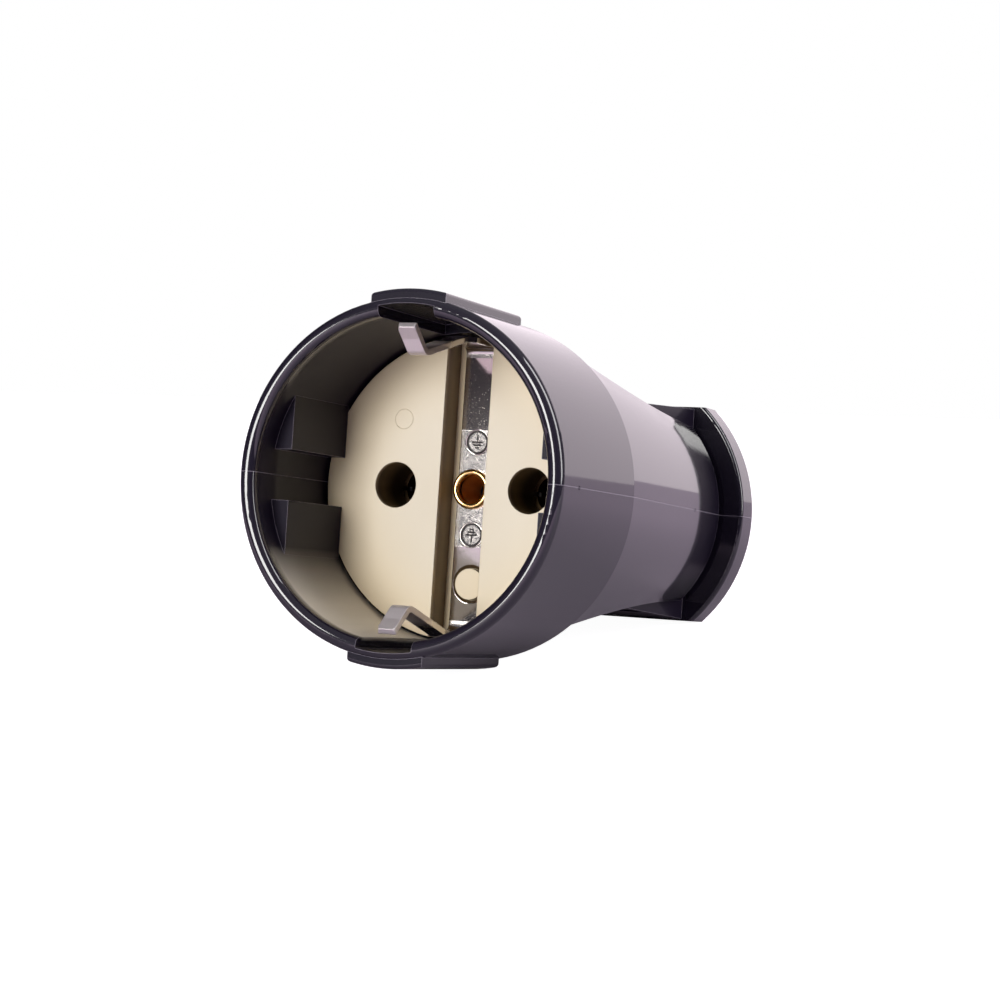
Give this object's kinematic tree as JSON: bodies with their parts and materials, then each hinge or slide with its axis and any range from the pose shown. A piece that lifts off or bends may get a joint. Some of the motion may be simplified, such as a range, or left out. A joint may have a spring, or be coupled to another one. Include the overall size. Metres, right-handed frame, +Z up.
{
  "type": "inline socket connector",
  "caption": "Rewirable inline socket connector with a round recess, side earth clips and a waisted grip, lying on its side with the mouth tipped up.",
  "frame": {"origin": "centre of the underside of the whole part's box, on the table it lies on", "axes": "+Z up from the table; +Y along the part towards the tail and the cable inlet, so the mouth faces -Y; +X to the right when the mouth is looked into with +Z up. The connector's own axis runs in the YZ plane and drops 9.1 degrees towards the tail."},
  "size_m": [0.044, 0.0756, 0.0489],
  "materials": {
    "casing": "polished black thermoset moulding",
    "insert": "cream moulding, satin",
    "retainer": "pale moulding, matt",
    "nickel_strap": "nickel-plated sheet, slightly speckled",
    "eyelet_brass": "bright rolled brass",
    "contact_brass": "turned and cut brass",
    "screw_steel": "zinc-plated steel",
    "spring_steel": "plain spring wire",
    "grip_plastic": "black moulding, matt",
    "nut_brass": "plain brass"
  },
  "bodies": {
    "root": {"casing_upper": "casing", "casing_lower": "casing", "socket_insert": "insert", "contact_retainer": "retainer", "earth_strap": "nickel_strap", "centre_eyelet": "eyelet_brass", "earth_terminal": "contact_brass", "earth_terminal_screw": "screw_steel", "contact_sleeve_left": "contact_brass", "contact_sleeve_right": "contact_brass", "sleeve_spring_left": "spring_steel", "sleeve_spring_right": "spring_steel", "terminal_screw_left": "screw_steel", "terminal_screw_right": "screw_steel", "cord_grip_bar": "grip_plastic", "cord_grip_screw_left": "screw_steel", "cord_grip_screw_right": "screw_steel", "casing_screw_left": "screw_steel", "casing_screw_right": "screw_steel", "casing_nut_left": "nut_brass", "casing_nut_right": "nut_brass"}
  },
  "joints": []
}
